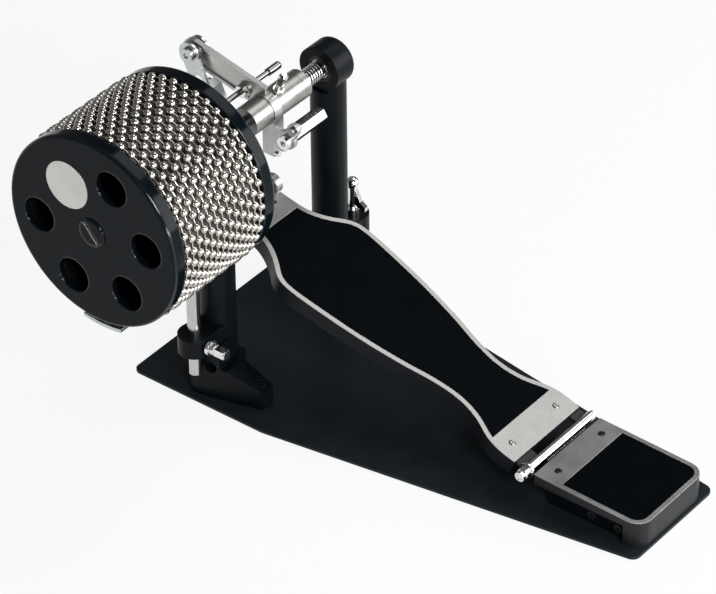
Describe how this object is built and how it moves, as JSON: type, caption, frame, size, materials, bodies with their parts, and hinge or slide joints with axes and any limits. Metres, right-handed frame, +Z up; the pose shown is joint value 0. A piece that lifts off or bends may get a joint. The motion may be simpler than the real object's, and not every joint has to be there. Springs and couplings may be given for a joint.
{
  "type": "foot cabasa",
  "caption": "Pedal-operated cabasa: a drum wound with ball-chain loops turns on a two-post stand as the footboard pulls a link and rocker; a clamped shoe rests the beads.",
  "frame": {"origin": "on the floor, straight under the middle of the axle", "axes": "+X towards the heel, -Y towards the drum, +Z up"},
  "size_m": [0.3864, 0.2697, 0.2559],
  "materials": {
    "black_coat": "black powder coat, satin",
    "black_screws": "black oxide",
    "cast_silver": "die-cast and bead-blasted, satin",
    "turned_silver": "turned, fine grain",
    "chrome": "bright chrome plate",
    "steel": "bright steel",
    "beads": "polished steel balls",
    "grip_black": "smooth black grip plate",
    "disc_black": "black, semi-gloss",
    "badge_silver": "bare satin plate",
    "pad_black": "matt black"
  },
  "bodies": {
    "root": {"base_plate": "black_coat", "plate_screws": "chrome", "near_foot": "black_coat", "far_foot": "black_coat", "foot_screws": "black_screws", "near_post": "black_coat", "far_post": "black_coat", "axle_bearings": "steel", "return_spring": "steel", "heel_block": "cast_silver", "heel_riser": "black_coat", "heel_screws": "chrome", "heel_grip": "grip_black", "heel_pins": "steel", "heel_leaf": "chrome", "hinge_pin": "chrome", "hinge_washer": "chrome", "hinge_nut": "chrome"},
    "footboard": {"footboard": "cast_silver", "board_grip": "grip_black", "board_pins": "steel", "board_leaf": "chrome", "toe_pin": "black_coat", "toe_clips": "black_coat", "toe_spacers": "turned_silver"},
    "link": {"link": "turned_silver"},
    "rocker": {"pivot_bolt": "chrome", "pivot_nut": "chrome", "rocker_arm": "cast_silver", "near_collar": "turned_silver", "hub_tube": "turned_silver", "end_collar": "turned_silver", "hub_screw": "chrome", "axle_shaft": "steel", "drive_rod": "steel", "rod_nuts": "chrome", "rod_cap": "steel", "hub_bracket": "turned_silver", "hub_bar": "chrome", "bar_screw": "chrome", "bar_pin": "steel", "bracket_screws": "chrome", "drum_shell": "steel", "front_disc": "disc_black", "rear_disc": "disc_black", "drum_core": "turned_silver", "centre_cap": "disc_black", "badge_plate": "badge_silver"},
    "beads": {"bead_loops": "beads"},
    "presser": {"presser_rod": "chrome", "presser_shoe": "steel", "shoe_pad": "pad_black", "shoe_screw": "chrome"},
    "clamp": {"clamp_screw": "chrome"},
    "wing": {"wing_bolt": "chrome"}
  },
  "joints": [
    {"name": "rocker_turn", "type": "hinge", "parent": "root", "child": "rocker", "pos_m": [0, 0, 0.1882], "axis": [0, -1, 0], "range_deg": [0, 30], "stiffness_Nm_per_rad": 0.5, "springref_deg": -45.84},
    {"name": "board_press", "type": "hinge", "parent": "root", "child": "footboard", "pos_m": [0.2284, 0, 0.022], "axis": [0, -1, 0], "range_deg": [0, 8]},
    {"name": "link_swing", "type": "hinge", "parent": "rocker", "child": "link", "pos_m": [-0.05912, 0, 0.20755], "axis": [0, -1, 0], "range_deg": [-33.9, 0]},
    {"name": "bead_turn", "type": "hinge", "parent": "root", "child": "beads", "pos_m": [0, -0.12635, 0.1882], "axis": [0, -1, 0], "continuous": true},
    {"name": "presser_lift", "type": "slide", "parent": "root", "child": "presser", "axis": [0, 0, 1], "range_m": [-0.015, 0]},
    {"name": "clamp_turn", "type": "hinge", "parent": "root", "child": "clamp", "pos_m": [0, -0.083, 0.0498], "axis": [1, 0, 0], "range_deg": [-180, 0]},
    {"name": "wing_turn", "type": "hinge", "parent": "root", "child": "wing", "pos_m": [0, 0.083, 0.058], "axis": [0, 0, 1], "range_deg": [-180, 0]}
  ],
  "couplings": [
    {"joint": "board_press", "follows": "rocker_turn", "ratio": 0.2665},
    {"joint": "link_swing", "follows": "rocker_turn", "ratio": -1.1291}
  ]
}
